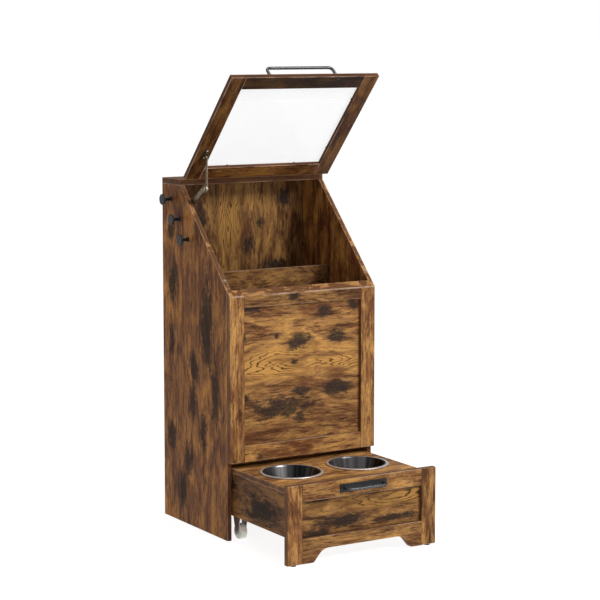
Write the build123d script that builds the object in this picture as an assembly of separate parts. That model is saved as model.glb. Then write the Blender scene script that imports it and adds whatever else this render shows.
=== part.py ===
from build123d import *
from math import atan2, cos, degrees, radians, sin
import os

# Pet food bin: a cabinet with a sloped, windowed lid over a food bin, and a rolling
# feeding drawer with two bowls under it.
# Millimetres. Origin at the floor, in the middle of the back face. +X is right,
# -Y is the front, +Z is up. It is drawn with the lid open and the drawer pulled out.

# ---- Cabinet ----
WIDTH = 430.0
HEIGHT = 895.0
SIDE_DEPTH = 340.0
TOP_DEPTH = 100.0
SIDE_THICK = 12.0
TOP_THICK = 15.0
FRONT_THICK = 15.0
BACK_THICK = 12.0
FLOOR_THICK = 12.0
DIVIDER_THICK = 12.0
FRONT_BOTTOM = 200.0       # underside of the front panel and of the bin floor
FRONT_HEIGHT = 435.0       # front panel, up to the back edge of its bevel
DIVIDER_Y = 136.0          # middle of the divider, from the back face
DIVIDER_TOP = 655.0
FRAME_WIDTH = 42.0         # stiles and rails of the front panel and the drawer front
FRONT_RAIL_UNDER_TOP = 45.0
EDGE = 0.8                 # rounding of the boards' edges
PANEL_THICK = 4.0          # centre panels, held in grooves
PANEL_RECESS = 9.5
GROOVE_DEPTH = 6.0
GROOVE_CLEAR = 0.15
PANEL_SHORT = 0.5          # gap between a centre panel and the bottom of its groove

# ---- Lid ----
LID_LENGTH = 360.0
LID_THICK = 12.0
LID_STILE = 42.0
LID_RAIL = 40.0
LID_OPEN_ANGLE = 92.5
LID_GAP = 2.0              # along the slope, from the top board to the lid's end
LID_LIFT = 1.0             # from the slope to the closed lid, taken up by the bumpers
BUMPER_THICK = 0.9
BUMPER_RADIUS = 4.0
BUMPER_FROM_END = 30.0
WINDOW_THICK = 3.0
WINDOW_LAP = 8.0           # how far the window lies on the frame
WINDOW_CLEAR = 0.5
WINDOW_SCREW_INSET = 4.0   # from the opening's edge, outwards

# ---- Lid hinges ----
HINGE_INSET = 85.0         # hinge's middle, from the lid's side
HINGE_AHEAD = 6.0          # axis, ahead of the top board's front edge
KNUCKLE_RADIUS = 3.5
PIN_RADIUS = 1.5
PIN_CLEAR = 0.05
LEAF_THICK = 1.5
LEAF_LENGTH = 50.0
LEAF_REACH = 28.0          # on the board
KNUCKLE_COUNT = 5
KNUCKLE_GAP = 0.3
LEAF_SCREW_SPREAD = 32.0

# ---- Lid stay: two arms that form a parallelogram with the lid ----
STAY_ALONG = 94.0          # pivot on the lid, from the lid's hinge end
STAY_BELOW = 10.5          # pivot on the lid, under the lid's inner face
STAY_LINK = 81.0           # upper arm, between pivots
STAY_PLATE = 2.0
STAY_BASE_AHEAD = 10.0     # bracket on the side panel, from its pivot
STAY_BASE_BEHIND = 20.0
STAY_BASE_UP = 10.0
STAY_BASE_DOWN = 18.0
STAY_SCREW_BEHIND = 13.0   # behind the pivot, where the arm never swings
STAY_SCREW_SPREAD = 14.0
STAY_GAP = 0.3
LOWER_ARM_THICK = 2.5
LOWER_ARM_WIDTH = 14.0
UPPER_ARM_THICK = 2.0
UPPER_ARM_WIDTH = 9.0
DRUM_RADIUS = 10.5
DRUM_THICK = 6.0
STAY_PIN_RADIUS = 2.5
STAY_HEAD_RADIUS = 4.0
STAY_HEAD_THICK = 1.2
OPEN_PIVOT_CLEAR = 0.3

# ---- Lid handle ----
BAR_RADIUS = 4.0
LID_SCREW_SINK = 2.0       # heads sunk under the lid's inner face
LID_HANDLE_CENTRES = 192.0
LID_HANDLE_HEIGHT = 31.0
LID_HANDLE_INSET = 10.0    # from the lid's free edge
LID_HANDLE_BEND = 11.0

# ---- Coat hooks ----
HOOK_COUNT = 3
HOOK_FIRST = (46.0, 39.0)    # from the back face, and down from the side panel's top
HOOK_STEP = (47.0, -48.5)
HOOK_STEM_RADIUS = 4.0
HOOK_COLLAR_RADIUS = 7.0
HOOK_COLLAR_THICK = 2.5
HOOK_DISC_RADIUS = 14.0
HOOK_DISC_THICK = 5.0
HOOK_REACH = 26.0

# ---- Drawer ----
DRAWER_OUT = 276.0         # how far it is pulled out
DRAWER_STOP_GAP = 1.0      # between the closed drawer front and the side panels
DRAWER_FRONT_TOP = 197.0
DRAWER_FRONT_THICK = 15.0
GLIDE_HEIGHT = 3.0
GLIDE_RADIUS = 7.0
GLIDE_INSET = 20.0         # glide, from the end of the drawer front
BOX_SIDE_GAP = 3.0
BOX_DEPTH = 315.0
BOX_THICK = 12.0
BOX_UNDERSIDE = 64.0
BOX_TOP_DROP = 12.0        # top board, under the drawer front's top edge
DRAWER_BOTTOM_THICK = 9.0
BOTTOM_RAIL_TOP = 64.5
APRON_HEIGHT = 34.5
APRON_LEG = 32.0           # foot left beside each stile
APRON_SWEEP = 26.0         # run of the cut's curved ends
APRON_TOP_ROUND = 35.0
APRON_FOOT_ROUND = 8.0

# ---- Bowls ----
BOWL_X = 97.0
BOWL_BACK = 176.0          # centre, behind the drawer front's face
BOWL_RIM_WIDTH = 8.5       # rim, beyond the bowl's wall
BOWL_TOP_RADIUS = 71.0
BOWL_BASE_RADIUS = 52.0
BOWL_DEPTH = 58.0
BOWL_WALL = 1.0
BOWL_RIM_HEIGHT = 3.0
BOWL_SEAT_GAP = 0.3
BOWL_HOLE_CLEAR = 2.0

# ---- Drawer handle ----
PLATE_LENGTH = 134.0
PLATE_HEIGHT = 20.0
PLATE_THICK = 2.5
DRAWER_BAR_RADIUS = 3.5
DRAWER_BAR_CENTRES = 112.0
DRAWER_BAR_HEIGHT = 23.0
DRAWER_BAR_BEND = 12.0
HANDLE_SCREW_SINK = 2.0

# ---- Casters ----
CASTER_INSET = 27.0        # wheel centre, in from the drawer box's side
CASTER_FROM_REAR = 31.0    # wheel centre, from the drawer box's rear
WHEEL_RADIUS = 20.0
WHEEL_WIDTH = 18.0
AXLE_RADIUS = 3.0
AXLE_CLEAR = 0.05
FORK_GAP = 1.0
FORK_THICK = 1.5
FORK_TOP_WIDTH = 36.0
FORK_TIP_RADIUS = 7.0
CASTER_PLATE_X = 38.0
CASTER_PLATE_Y = 54.0
CASTER_PLATE_THICK = 2.0
CASTER_SCREW_X = 24.0
CASTER_SCREW_Y = 44.0

# ---- Fasteners ----
SCREW_HEAD_RADIUS = 3.0
SCREW_HEAD_HEIGHT = 1.4
SCREW_RADIUS = 1.5
SCREW_LENGTH = 8.0
MACHINE_SCREW_RADIUS = 2.0
MACHINE_HEAD_RADIUS = 4.0
MACHINE_HEAD_HEIGHT = 1.6
MACHINE_GRIP = 6.0         # how far a machine screw goes into the part it holds
DRILL_CLEAR = 0.1
CAM_RADIUS = 7.5
CAM_DEPTH = 9.0
CAM_FROM_EDGE = 24.0

# ---- Worked out from the above ----
HALF = WIDTH / 2
INNER = HALF - SIDE_THICK
DEPTH = SIDE_DEPTH + FRONT_THICK
SIDE_TOP = HEIGHT - TOP_THICK
FRONT_TOP = FRONT_BOTTOM + FRONT_HEIGHT
SLOPE = atan2(SIDE_TOP - FRONT_TOP, SIDE_DEPTH - TOP_DEPTH)
HINGE_Y = -(TOP_DEPTH + HINGE_AHEAD)
HINGE_Z = HEIGHT + KNUCKLE_RADIUS
LID_TILT = degrees(SLOPE) - LID_OPEN_ANGLE
FRONT_FACE = -(DEPTH + DRAWER_STOP_GAP + DRAWER_OUT)   # face of the pulled out drawer front
FRONT_REAR = FRONT_FACE + DRAWER_FRONT_THICK
BOX_REAR = FRONT_REAR + BOX_DEPTH
BOX_HALF = INNER - BOX_SIDE_GAP
BOX_INNER = BOX_HALF - BOX_THICK
BOX_TOP = DRAWER_FRONT_TOP - BOX_TOP_DROP
BOWL_RIM_RADIUS = BOWL_TOP_RADIUS + BOWL_RIM_WIDTH
CASTER_X = BOX_HALF - CASTER_INSET
HINGE_X = HALF - HINGE_INSET
APRON_FOOT = HALF - FRAME_WIDTH - APRON_LEG    # half widths of the apron's cut
APRON_FLAT = APRON_FOOT - APRON_SWEEP
STAY_X = -INNER            # the stay is on the left side panel


def lid_end():
    """Along the slope and square to it, from the hinge axis to the lid's lower hinge corner."""
    ahead = TOP_DEPTH - (TOP_DEPTH + HINGE_AHEAD)
    rise = SIDE_TOP - HINGE_Z
    along = ahead * cos(SLOPE) - rise * sin(SLOPE) + LID_GAP
    square = ahead * sin(SLOPE) + rise * cos(SLOPE) + LID_LIFT
    return along, square


LID_ALONG, LID_SQUARE = lid_end()


# ---- Helpers ----
def block(x, y, z):
    """A plain box, from its low and high value on each axis."""
    middle = [(low + high) / 2 for low, high in (x, y, z)]
    return Pos(*middle) * Box(*[high - low for low, high in (x, y, z)])


def board(x, y, z):
    """A board with slightly rounded edges."""
    solid = block(x, y, z)
    return fillet(solid.edges(), EDGE)


def across(points, x):
    """A rounded board with its outline in the YZ plane, as wide as x."""
    outline = make_face(Polyline(*points, close=True))
    solid = Pos(x[0], 0, 0) * extrude(Plane.YZ * outline, x[1] - x[0])
    return fillet(solid.edges(), EDGE)


def rod(start, end, radius):
    """A round bar between two points."""
    run = Vector(*end) - Vector(*start)
    return Solid.make_cylinder(radius, run.length, Plane(start, z_dir=run))


def bent_bar(points, bend, radius):
    """A round bar along straight runs joined by equal bends."""
    path = FilletPolyline(*points, radius=bend)
    return sweep(Plane(path @ 0, z_dir=path % 0) * Circle(radius), path=path)


def screw(seat, inward, length=SCREW_LENGTH, radius=SCREW_RADIUS,
          head=SCREW_HEAD_RADIUS, head_height=SCREW_HEAD_HEIGHT):
    """A domed screw whose head sits at seat and whose shank runs inward."""
    seat, inward = Vector(*seat), Vector(*inward)
    shank = rod(seat, seat + inward * length, radius)
    cap = Solid.make_cylinder(head, head_height, Plane(seat, z_dir=inward * -1))
    rim = cap.edges().sort_by(Axis(seat, inward * -1))[-1]
    return shank + fillet(rim, head_height * 0.6)


def drilled(solid, seats, inward, depth, radius, back=1.0):
    """The solid with a round hole at each seat, begun a little way back from it."""
    inward = Vector(*inward)
    for seat in seats:
        seat = Vector(*seat)
        solid -= rod(seat - inward * back, seat + inward * depth, radius + DRILL_CLEAR)
    return solid


def lid_place(solid):
    """Moves a piece from the hinge's own frame, as if the lid lay flat, to the open lid."""
    return Pos(0, HINGE_Y, HINGE_Z) * Rot(LID_TILT, 0, 0) * solid


def lid_yz(along, up):
    """Point of the open lid, from the distance along it and up from its inner face."""
    y, z = -(LID_ALONG + along), LID_SQUARE + up
    tilt = radians(LID_TILT)
    return HINGE_Y + y * cos(tilt) - z * sin(tilt), HINGE_Z + y * sin(tilt) + z * cos(tilt)


def lid_range(low, high):
    """Y range in the hinge's frame of a stretch along the lid."""
    return -(LID_ALONG + high), -(LID_ALONG + low)


def lid_levels(low, high):
    """Z range in the hinge's frame of a stretch up from the lid's inner face."""
    return LID_SQUARE + low, LID_SQUARE + high


def mirrored(solid):
    """The same piece on the other side of the object."""
    return mirror(solid, about=Plane.YZ)


# ---- Cabinet ----
def hook_seats():
    """Where the coat hooks' stems meet the outside of the left side panel."""
    return [
        (-HALF, -(HOOK_FIRST[0] + n * HOOK_STEP[0]), SIDE_TOP - HOOK_FIRST[1] + n * HOOK_STEP[1])
        for n in range(HOOK_COUNT)
    ]


def stay_pivots():
    """Side panel, elbow and lid pivots of the stay, as (y, z) with the lid open."""
    lid = lid_yz(STAY_ALONG, -STAY_BELOW)
    return (HINGE_Y, HINGE_Z - STAY_LINK), (lid[0], lid[1] - STAY_LINK), lid


def stay_screw_seats():
    """Screws of the stay's bracket on the side panel."""
    (y, z), _, _ = stay_pivots()
    middle = z + (STAY_BASE_UP - STAY_BASE_DOWN) / 2
    return [(STAY_X + STAY_PLATE, y + STAY_SCREW_BEHIND, middle + side * STAY_SCREW_SPREAD / 2)
            for side in (-1, 1)]


def side_panel(sign):
    profile = [(0, 0), (-SIDE_DEPTH, 0), (-SIDE_DEPTH, FRONT_TOP), (-TOP_DEPTH, SIDE_TOP),
               (0, SIDE_TOP)]
    panel = across(profile, (-HALF, -INNER))
    if sign > 0:
        return mirrored(panel)
    inside = [(-INNER, y, z) for _, y, z in hook_seats()]
    for seat, far in zip(inside, hook_seats()):
        panel -= rod(seat, far, MACHINE_SCREW_RADIUS + DRILL_CLEAR)
    shank = SCREW_LENGTH - STAY_PLATE + DRILL_CLEAR
    holes = [(STAY_X, y, z) for _, y, z in stay_screw_seats()]
    return drilled(panel, holes, (-1, 0, 0), shank, SCREW_RADIUS)


def leaf_screw_seats(reach):
    """Screws of one hinge leaf: offset along X, and from the board's edge."""
    return [(side * LEAF_SCREW_SPREAD / 2, reach * 0.62) for side in (-1, 1)]


def fixed_screw_seats():
    return [(sign * HINGE_X + dx, -TOP_DEPTH + dy, HEIGHT + LEAF_THICK)
            for sign in (-1, 1) for dx, dy in leaf_screw_seats(LEAF_REACH)]


def top_board():
    top = board((-HALF, HALF), (-TOP_DEPTH, 0), (SIDE_TOP, HEIGHT))
    holes = [(x, y, HEIGHT) for x, y, _ in fixed_screw_seats()]
    return drilled(top, holes, (0, 0, -1), SCREW_LENGTH - LEAF_THICK + DRILL_CLEAR, SCREW_RADIUS)


def floor_cam_seats():
    y_front, y_back = -(SIDE_DEPTH - 60.0), -(BACK_THICK + 60.0)
    return [(sign * (INNER - CAM_FROM_EDGE), y, FRONT_BOTTOM)
            for sign in (-1, 1) for y in (y_front, y_back)]


def bin_floor():
    z = (FRONT_BOTTOM, FRONT_BOTTOM + FLOOR_THICK)
    return drilled(board((-INNER, INNER), (-SIDE_DEPTH, -BACK_THICK), z),
                   floor_cam_seats(), (0, 0, 1), CAM_DEPTH, CAM_RADIUS)


def cam(seat, inward):
    """A cam lock, flush with its pocket, with a cross slot for the screwdriver."""
    seat, inward = Vector(*seat), Vector(*inward)
    body = rod(seat, seat + inward * (CAM_DEPTH - DRILL_CLEAR), CAM_RADIUS)
    face = Plane(seat, z_dir=inward)
    for turn in (0, 90):
        body -= face * Rot(0, 0, turn) * Box(CAM_RADIUS * 1.2, 1.6, 3.0)
    return body


def front_y():
    return -DEPTH, -SIDE_DEPTH


def bevelled(z_low, x):
    """A front panel piece whose top edge follows the slope."""
    drop = FRONT_THICK * (SIDE_TOP - FRONT_TOP) / (SIDE_DEPTH - TOP_DEPTH)
    y_front, y_back = front_y()
    points = [(y_back, z_low), (y_back, FRONT_TOP), (y_front, FRONT_TOP - drop),
              (y_front, z_low)]
    return across(points, x)


def panel_y(face):
    """Y range of a centre panel behind a frame whose face is at the given place."""
    return face + PANEL_RECESS, face + PANEL_RECESS + PANEL_THICK


def panel_slot(face, half_width, z):
    """The space that a centre panel's groove takes up."""
    y = panel_y(face)
    grow = GROOVE_DEPTH
    return block((-half_width - grow, half_width + grow),
                 (y[0] - GROOVE_CLEAR, y[1] + GROOVE_CLEAR), (z[0] - grow, z[1] + grow))


def centre_panel(face, half_width, z):
    grow = GROOVE_DEPTH - PANEL_SHORT
    return board((-half_width - grow, half_width + grow), panel_y(face),
                 (z[0] - grow, z[1] + grow))


def front_panel():
    """Two stiles, two rails and a centre panel."""
    inner = HALF - FRAME_WIDTH
    window = (FRONT_BOTTOM + FRAME_WIDTH, FRONT_TOP - FRONT_RAIL_UNDER_TOP)
    slot = panel_slot(-DEPTH, inner, window)
    stile = bevelled(FRONT_BOTTOM, (-HALF, -inner)) - slot
    bottom = board((-inner, inner), front_y(), (FRONT_BOTTOM, window[0])) - slot
    return {
        "front_left_stile": stile,
        "front_right_stile": mirrored(stile),
        "front_top_rail": bevelled(window[1], (-inner, inner)) - slot,
        "front_bottom_rail": bottom,
        "front_center_panel": centre_panel(-DEPTH, inner, window),
    }


def coat_hook(seat):
    x, y, z = seat
    stem = rod(seat, (x - HOOK_REACH, y, z), HOOK_STEM_RADIUS)
    collar = rod(seat, (x - HOOK_COLLAR_THICK, y, z), HOOK_COLLAR_RADIUS)
    disc = rod((x - HOOK_REACH + HOOK_DISC_THICK, y, z), (x - HOOK_REACH, y, z),
               HOOK_DISC_RADIUS)
    disc = fillet(disc.edges().filter_by(GeomType.CIRCLE), HOOK_DISC_THICK * 0.3)
    hook = stem + collar + disc
    return drilled(hook, [seat], (-1, 0, 0), MACHINE_GRIP + 1.0, MACHINE_SCREW_RADIUS)


def coat_hook_screws():
    length = SIDE_THICK + MACHINE_GRIP
    return [screw((-INNER, y, z), (-1, 0, 0), length, MACHINE_SCREW_RADIUS,
                  MACHINE_HEAD_RADIUS, MACHINE_HEAD_HEIGHT) for _, y, z in hook_seats()]


def bumpers():
    """Clear dots on the side panels' sloped edges, which the closed lid lies on."""
    y = -SIDE_DEPTH + BUMPER_FROM_END * cos(SLOPE)
    z = FRONT_TOP + BUMPER_FROM_END * sin(SLOPE)
    up = Vector(0, -sin(SLOPE), cos(SLOPE))
    seats = [Vector(sign * (HALF - SIDE_THICK / 2), y, z) for sign in (-1, 1)]
    return [rod(seat, seat + up * BUMPER_THICK, BUMPER_RADIUS) for seat in seats]


# ---- Lid ----
def window_screw_seats():
    """Screws through the window's edge: (x, along the lid)."""
    x_edge = HALF - LID_STILE + WINDOW_SCREW_INSET
    low = LID_RAIL - WINDOW_SCREW_INSET
    high = LID_LENGTH - LID_RAIL + WINDOW_SCREW_INSET
    sides = [(sign * x_edge, s) for sign in (-1, 1)
             for s in (low + 55.0, high - 55.0)]
    ends = [(sign * 100.0, s) for sign in (-1, 1) for s in (low, high)]
    return sides + ends


def lid_handle_screw_seats():
    """Under the heads, which are sunk in the lid's inner face, clear of the front panel."""
    return [lid_seat(x, LID_LENGTH - LID_HANDLE_INSET, LID_SCREW_SINK) for x in lid_handle_x()]


def lid_handle_x():
    return [sign * LID_HANDLE_CENTRES / 2 for sign in (-1, 1)]


def lid_seat(x, along, up):
    """A point in the hinge's own frame, for a place on the lid."""
    return x, -(LID_ALONG + along), LID_SQUARE + up


def stay_lid_screw_seats():
    return [lid_seat(STAY_X + 14.0, STAY_ALONG + side * 12.0, -STAY_PLATE)
            for side in (-1, 1)]


def moving_screw_seats():
    return [lid_seat(sign * HINGE_X + dx, dy, LID_THICK + LEAF_THICK)
            for sign in (-1, 1) for dx, dy in leaf_screw_seats(LEAF_REACH)]


def lid_drillings(piece):
    """Every screw hole in the lid's frame, cut from a piece drawn in the hinge's frame."""
    down, up = (0, 0, -1), (0, 0, 1)
    outer = LID_SQUARE + LID_THICK
    shank = 6.5 + DRILL_CLEAR
    leaf = [(x, y, outer) for x, y, _ in moving_screw_seats()]
    stay = [(x, y, LID_SQUARE) for x, y, _ in stay_lid_screw_seats()]
    window = [lid_seat(x, s, LID_THICK - WINDOW_THICK) for x, s in window_screw_seats()]
    piece = drilled(piece, leaf, down, shank, SCREW_RADIUS)
    piece = drilled(piece, stay, up, shank, SCREW_RADIUS)
    piece = drilled(piece, window, down, 5.0 + DRILL_CLEAR, SCREW_RADIUS)
    piece = drilled(piece, lid_handle_screw_seats(), up, LID_THICK, MACHINE_SCREW_RADIUS)
    return drilled(piece, lid_handle_screw_seats(), down, LID_THICK, MACHINE_HEAD_RADIUS, back=0)


def lid_frame():
    inner = HALF - LID_STILE
    far = LID_LENGTH - LID_RAIL
    levels = lid_levels(0, LID_THICK)
    rebate = block((-inner - WINDOW_LAP, inner + WINDOW_LAP),
                   lid_range(LID_RAIL - WINDOW_LAP, far + WINDOW_LAP),
                   lid_levels(LID_THICK - WINDOW_THICK, LID_THICK + 1.0))
    pieces = {
        "lid_left_stile": board((-HALF, -inner), lid_range(0, LID_LENGTH), levels),
        "lid_right_stile": board((inner, HALF), lid_range(0, LID_LENGTH), levels),
        "lid_top_rail": board((-inner, inner), lid_range(far, LID_LENGTH), levels),
        "lid_bottom_rail": board((-inner, inner), lid_range(0, LID_RAIL), levels),
    }
    return {name: lid_drillings(piece - rebate) for name, piece in pieces.items()}


def lid_window():
    half = HALF - LID_STILE + WINDOW_LAP - WINDOW_CLEAR
    lap = WINDOW_LAP - WINDOW_CLEAR
    pane = block((-half, half), lid_range(LID_RAIL - lap, LID_LENGTH - LID_RAIL + lap),
                 lid_levels(LID_THICK - WINDOW_THICK, LID_THICK))
    seats = [lid_seat(x, s, LID_THICK) for x, s in window_screw_seats()]
    return drilled(pane, seats, (0, 0, -1), WINDOW_THICK + 1.0, SCREW_RADIUS)


def lid_handle():
    """A round bar bent to a U, on the outer face beside the free edge."""
    left, right = lid_handle_x()
    along = LID_LENGTH - LID_HANDLE_INSET
    levels = (LID_THICK, LID_THICK + LID_HANDLE_HEIGHT)
    points = [lid_seat(left, along, levels[0]), lid_seat(left, along, levels[1]),
              lid_seat(right, along, levels[1]), lid_seat(right, along, levels[0])]
    bar = bent_bar(points, LID_HANDLE_BEND, BAR_RADIUS)
    seats = [points[0], points[-1]]
    return drilled(bar, seats, (0, 0, 1), MACHINE_GRIP + 1.0, MACHINE_SCREW_RADIUS)


def lid_handle_screws():
    length = LID_THICK - LID_SCREW_SINK + MACHINE_GRIP
    return [screw(seat, (0, 0, 1), length, MACHINE_SCREW_RADIUS, MACHINE_HEAD_RADIUS,
                  MACHINE_HEAD_HEIGHT) for seat in lid_handle_screw_seats()]


def lid_screws():
    """Window, hinge leaf and stay bracket screws, all on the lid."""
    down, up = (0, 0, -1), (0, 0, 1)
    window = [screw(lid_seat(x, s, LID_THICK), down) for x, s in window_screw_seats()]
    leaf = [screw(seat, down) for seat in moving_screw_seats()]
    return window + leaf + [screw(seat, up) for seat in stay_lid_screw_seats()]


# ---- Hinges ----
def knuckle_spans(first):
    """X ranges of every other knuckle of a hinge, from its own middle."""
    pitch = LEAF_LENGTH / KNUCKLE_COUNT
    low = -LEAF_LENGTH / 2
    return [(low + n * pitch + KNUCKLE_GAP / 2, low + (n + 1) * pitch - KNUCKLE_GAP / 2)
            for n in range(first, KNUCKLE_COUNT, 2)]


def hinge_leaf(first, leaf, bridge):
    """A leaf, its knuckles and the strips that join them, round an axis along X."""
    bore = rod((-LEAF_LENGTH, 0, 0), (LEAF_LENGTH, 0, 0), PIN_RADIUS + PIN_CLEAR)
    solid = leaf
    for low, high in knuckle_spans(first):
        solid += rod((low, 0, 0), (high, 0, 0), KNUCKLE_RADIUS)
        solid += block((low, high), *bridge)
    return solid - bore


def fixed_leaf(sign):
    """Lies on top of the top board."""
    edge = HINGE_AHEAD
    z = (-KNUCKLE_RADIUS, LEAF_THICK - KNUCKLE_RADIUS)
    half = LEAF_LENGTH / 2
    leaf = block((-half, half), (edge, edge + LEAF_REACH), z)
    solid = hinge_leaf(0, leaf, ((0, edge + 1.0), z))
    solid = Pos(sign * HINGE_X, HINGE_Y, HINGE_Z) * solid
    return drilled(solid, fixed_screw_seats(), (0, 0, -1), LEAF_THICK + 1.0, SCREW_RADIUS)


def moving_leaf(sign):
    """Lies on the lid's outer face."""
    z = lid_levels(LID_THICK, LID_THICK + LEAF_THICK)
    half = LEAF_LENGTH / 2
    start = KNUCKLE_RADIUS + 2.0
    leaf = block((-half, half), (-(LID_ALONG + LEAF_REACH), -start), z)
    solid = hinge_leaf(1, leaf, ((-start - 1.0, 0), z))
    solid = Pos(sign * HINGE_X, 0, 0) * solid
    solid = drilled(solid, moving_screw_seats(), (0, 0, -1), LEAF_THICK + 1.0, SCREW_RADIUS)
    return lid_place(solid)


def hinge_pins():
    half = LEAF_LENGTH / 2
    return [rod((sign * HINGE_X - half, HINGE_Y, HINGE_Z), (sign * HINGE_X + half, HINGE_Y, HINGE_Z),
                PIN_RADIUS) for sign in (-1, 1)]


# ---- Lid stay ----
def stay_layers():
    """X ranges of the stay's flat pieces, from the side panel inwards."""
    plate = (STAY_X, STAY_X + STAY_PLATE)
    lower = (plate[1] + STAY_GAP, plate[1] + STAY_GAP + LOWER_ARM_THICK)
    drum = (lower[1], lower[1] + DRUM_THICK)
    upper = (drum[1] + STAY_GAP, drum[1] + STAY_GAP + UPPER_ARM_THICK)
    return plate, lower, drum, upper


def strap(start, end, width, x):
    """A flat arm with round ends between two (y, z) points."""
    length = (Vector(*end) - Vector(*start)).length
    turn = degrees(atan2(end[1] - start[1], end[0] - start[0]))
    outline = Pos((start[0] + end[0]) / 2, (start[1] + end[1]) / 2) * Rot(0, 0, turn)
    outline = outline * SlotCenterToCenter(length, width)
    return Pos(x[0], 0, 0) * extrude(Plane.YZ * outline, x[1] - x[0])


def stay_pin(pivot, start, arm, end_gap):
    """A rivet from start, through an arm's X range, with a head beyond it."""
    y, z = pivot
    reach = arm[1] + end_gap if start <= arm[0] else arm[0] - end_gap
    step = STAY_HEAD_THICK if reach > start else -STAY_HEAD_THICK
    shank = rod((start, y, z), (reach + step, y, z), STAY_PIN_RADIUS)
    return shank + rod((reach, y, z), (reach + step, y, z), STAY_HEAD_RADIUS)


def stay_side_bracket():
    plate, lower, _, _ = stay_layers()
    y, z = stay_pivots()[0]
    body = block(plate, (y - STAY_BASE_AHEAD, y + STAY_BASE_BEHIND),
                 (z - STAY_BASE_DOWN, z + STAY_BASE_UP))
    body = fillet(body.edges().filter_by(Axis.X), 6.0)
    body = drilled(body, stay_screw_seats(), (-1, 0, 0), STAY_PLATE + 1.0, SCREW_RADIUS)
    return body + stay_pin((y, z), plate[1], lower, STAY_GAP)


def stay_lower_arm():
    _, lower, _, _ = stay_layers()
    base, elbow, _ = stay_pivots()
    arm = strap(base, elbow, LOWER_ARM_WIDTH, lower)
    y, z = base
    return arm - rod((lower[0] - 1, y, z), (lower[1] + 1, y, z), STAY_PIN_RADIUS + PIN_CLEAR)


def stay_drum():
    """The friction drum at the elbow, with the rivet that carries the upper arm."""
    _, _, drum, upper = stay_layers()
    y, z = stay_pivots()[1]
    body = rod((drum[0], y, z), (drum[1], y, z), DRUM_RADIUS)
    rim = body.edges().filter_by(GeomType.CIRCLE).sort_by(Axis.X)[-1]
    return fillet(rim, 1.0) + stay_pin((y, z), drum[1], upper, STAY_GAP)


def stay_upper_arm():
    _, _, _, upper = stay_layers()
    _, elbow, lid = stay_pivots()
    arm = strap(elbow, lid, UPPER_ARM_WIDTH, upper)
    for (y, z), clear in ((elbow, PIN_CLEAR), (lid, OPEN_PIVOT_CLEAR)):
        arm -= rod((upper[0] - 1, y, z), (upper[1] + 1, y, z), STAY_PIN_RADIUS + clear)
    return arm


def stay_lid_bracket():
    """A flange on the lid's inner face and an ear with the upper pivot's rivet."""
    upper = stay_layers()[3]
    ear_x = (upper[1] + STAY_GAP, upper[1] + STAY_GAP + STAY_PLATE)
    along = lid_range(STAY_ALONG - 18.0, STAY_ALONG + 18.0)
    flange = block((STAY_X + 9.0, ear_x[1]), along, lid_levels(-STAY_PLATE, 0))
    flange += block((ear_x[0], ear_x[1]), lid_range(STAY_ALONG - 7.0, STAY_ALONG + 7.0),
                    lid_levels(-STAY_BELOW - 5.0, 0))
    flange = drilled(flange, stay_lid_screw_seats(), (0, 0, 1), STAY_PLATE + 1.0, SCREW_RADIUS)
    rivet = stay_pin(stay_pivots()[2], ear_x[0], upper, STAY_GAP)
    return lid_place(flange) + rivet


# ---- Drawer ----
def drawer_rail(points, rounds):
    """A drawer front rail from its outline in the XZ plane, with corners rounded by place."""
    outline = make_face(Polyline(*points, close=True))
    for half_width, radius in rounds:
        corners = [v for v in outline.vertices() if abs(abs(v.X) - half_width) < 1e-3]
        outline = fillet(corners, radius)
    solid = extrude(Plane.XZ * outline, DRAWER_FRONT_THICK)
    return Pos(0, FRONT_REAR, 0) * solid


def handle_screw_seats():
    """Sunk in the back of the top rail, clear of the top board's edge."""
    y, z = FRONT_REAR - HANDLE_SCREW_SINK, DRAWER_FRONT_TOP - FRAME_WIDTH / 2
    return [(sign * DRAWER_BAR_CENTRES / 2, y, z) for sign in (-1, 1)]


def drawer_front():
    """Two stiles, two rails, the lower one with an apron cut, and a centre panel."""
    inner = HALF - FRAME_WIDTH
    y = (FRONT_FACE, FRONT_REAR)
    window = (BOTTOM_RAIL_TOP, DRAWER_FRONT_TOP - FRAME_WIDTH)
    slot = panel_slot(FRONT_FACE, inner, window)
    stile = board((-HALF, -inner), y, (GLIDE_HEIGHT, DRAWER_FRONT_TOP)) - slot
    top = board((-inner, inner), y, (window[1], DRAWER_FRONT_TOP)) - slot
    reach = DRAWER_FRONT_THICK
    top = drilled(top, handle_screw_seats(), (0, -1, 0), reach, MACHINE_SCREW_RADIUS)
    top = drilled(top, handle_screw_seats(), (0, 1, 0), reach, MACHINE_HEAD_RADIUS, back=0)
    low = GLIDE_HEIGHT
    outline = [(-inner, low), (-APRON_FOOT, low), (-APRON_FLAT, APRON_HEIGHT),
               (APRON_FLAT, APRON_HEIGHT), (APRON_FOOT, low), (inner, low),
               (inner, window[0]), (-inner, window[0])]
    bottom = drawer_rail(outline, ((APRON_FOOT, APRON_FOOT_ROUND), (APRON_FLAT, APRON_TOP_ROUND)))
    return {
        "drawer_front_left_stile": stile,
        "drawer_front_right_stile": mirrored(stile),
        "drawer_front_top_rail": top,
        "drawer_front_bottom_rail": bottom - slot,
        "drawer_front_center_panel": centre_panel(FRONT_FACE, inner, window),
    }


def bowl_centres():
    return [(sign * BOWL_X, FRONT_FACE + BOWL_BACK) for sign in (-1, 1)]


def drawer_cam_seats(sign):
    z_middle = (BOX_UNDERSIDE + BOX_TOP - BOX_THICK) / 2
    return [(sign * BOX_INNER, FRONT_REAR + CAM_FROM_EDGE, z_middle + dz) for dz in (-32.0, 32.0)]


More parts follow.
